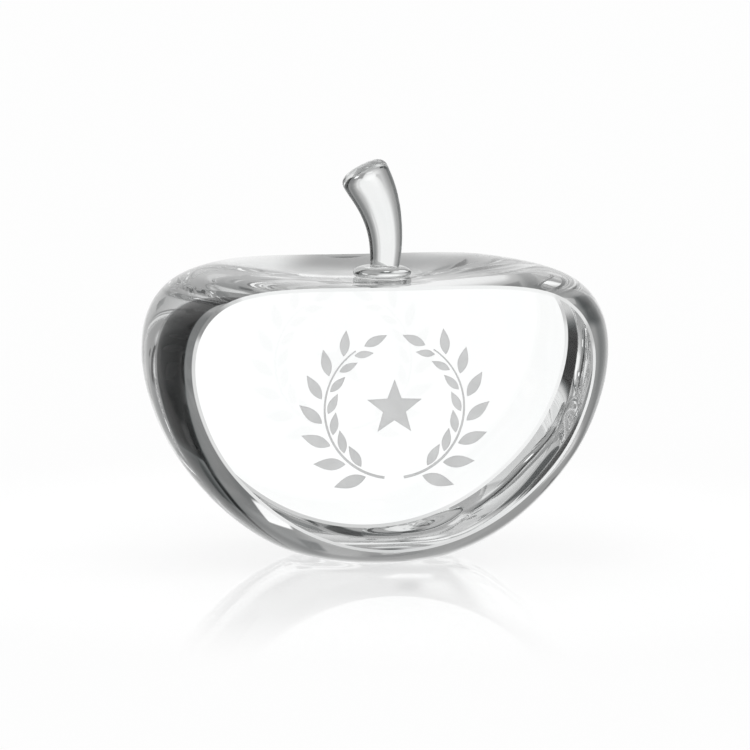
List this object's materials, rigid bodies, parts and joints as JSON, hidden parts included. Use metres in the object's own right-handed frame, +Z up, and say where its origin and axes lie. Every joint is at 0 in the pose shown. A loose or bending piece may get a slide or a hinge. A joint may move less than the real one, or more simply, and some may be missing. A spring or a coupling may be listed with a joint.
{
  "type": "glass apple paperweight",
  "caption": "Solid clear glass apple with two flat polished faces, a shallow dimple, a ground base and a bent glass stem on a round collar.",
  "frame": {"origin": "centre of the ground base, on the surface that the apple stands on", "axes": "+Z up, -Y out of the front polished face, +X to the right seen from the front"},
  "size_m": [0.12, 0.0604, 0.1022],
  "materials": {
    "body_glass": "polished clear optical glass",
    "stem_glass": "fire-polished clear glass",
    "clear_adhesive": "cured clear adhesive"
  },
  "bodies": {
    "root": {"apple_body": "body_glass", "stem_collar": "stem_glass", "stem": "stem_glass", "collar_bond": "clear_adhesive", "stem_bond": "clear_adhesive"}
  },
  "joints": []
}
